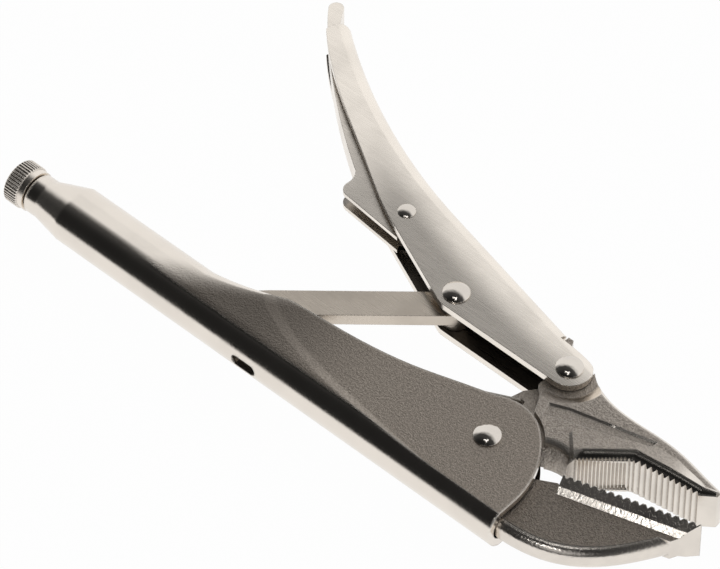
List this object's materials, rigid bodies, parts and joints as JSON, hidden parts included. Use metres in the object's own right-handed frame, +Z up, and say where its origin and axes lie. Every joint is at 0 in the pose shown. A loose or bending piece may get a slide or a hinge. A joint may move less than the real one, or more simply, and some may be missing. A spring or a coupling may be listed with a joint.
{
  "type": "locking pliers",
  "caption": "Locking pliers with toothed jaws, a toggle linkage between tubular and curved channel handles, a knurled adjusting screw, a release lever and a return spring.",
  "frame": {"origin": "middle of the overall box in plan, at the height the tool rests on when it lies on its side", "axes": "+X from the adjusting knob towards the jaws, +Y from the fixed handle towards the moving handle, +Z up along the rivets"},
  "size_m": [0.305, 0.159, 0.022],
  "materials": {
    "plated_sheet": "satin nickel plate on pressed sheet steel",
    "forged_jaw": "nickel plate on a blasted forging",
    "plated_bar": "satin nickel plate on flat bar",
    "rivet": "polished nickel-plated rivet",
    "screw": "knurled, nickel plated",
    "spring_wire": "drawn spring wire"
  },
  "bodies": {
    "handle": {"fixed_handle": "plated_sheet", "fixed_jaw": "forged_jaw", "main_pivot_rivet": "rivet", "return_spring": "spring_wire"},
    "jaw": {"movable_jaw": "forged_jaw"},
    "lever": {"moving_handle": "plated_sheet", "jaw_handle_rivet": "rivet", "link_rivet": "rivet", "release_rivet": "rivet"},
    "link": {"toggle_link": "plated_bar"},
    "release": {"release_lever": "plated_sheet"},
    "screw": {"adjusting_screw": "screw"},
    "knob": {"adjusting_knob": "screw"}
  },
  "joints": [
    {"name": "jaw_close", "type": "hinge", "parent": "handle", "child": "jaw", "pos_m": [0.06803, -0.04917, 0.011], "axis": [0, 0, 1], "range_deg": [-7.9, 0], "deforming": ["return_spring"]},
    {"name": "lever_fold", "type": "hinge", "parent": "jaw", "child": "lever", "pos_m": [0.06903, -0.00447, 0.011], "axis": [0, 0, 1], "range_deg": [0, 32.65]},
    {"name": "link_swing", "type": "hinge", "parent": "lever", "child": "link", "pos_m": [0.01402, -0.00537, 0.011], "axis": [0, 0, 1], "range_deg": [-41.56, 0]},
    {"name": "release_pull", "type": "hinge", "parent": "lever", "child": "release", "pos_m": [-0.02697, 0.01253, 0.011], "axis": [0, 0, 1], "range_deg": [0, 12]},
    {"name": "screw_slide", "type": "slide", "parent": "handle", "child": "screw", "axis": [-1, 0, 0], "range_m": [0, 0.018]},
    {"name": "knob_turn", "type": "hinge", "parent": "screw", "child": "knob", "pos_m": [-0.14297, -0.06907, 0.011], "axis": [-1, 0, 0], "range_deg": [0, 4321]}
  ],
  "couplings": [
    {"joint": "jaw_close", "follows": "lever_fold", "ratio": -0.24193},
    {"joint": "link_swing", "follows": "lever_fold", "ratio": -1.2728},
    {"joint": "knob_turn", "follows": "screw_slide", "rad_per_m": 4188.8}
  ]
}
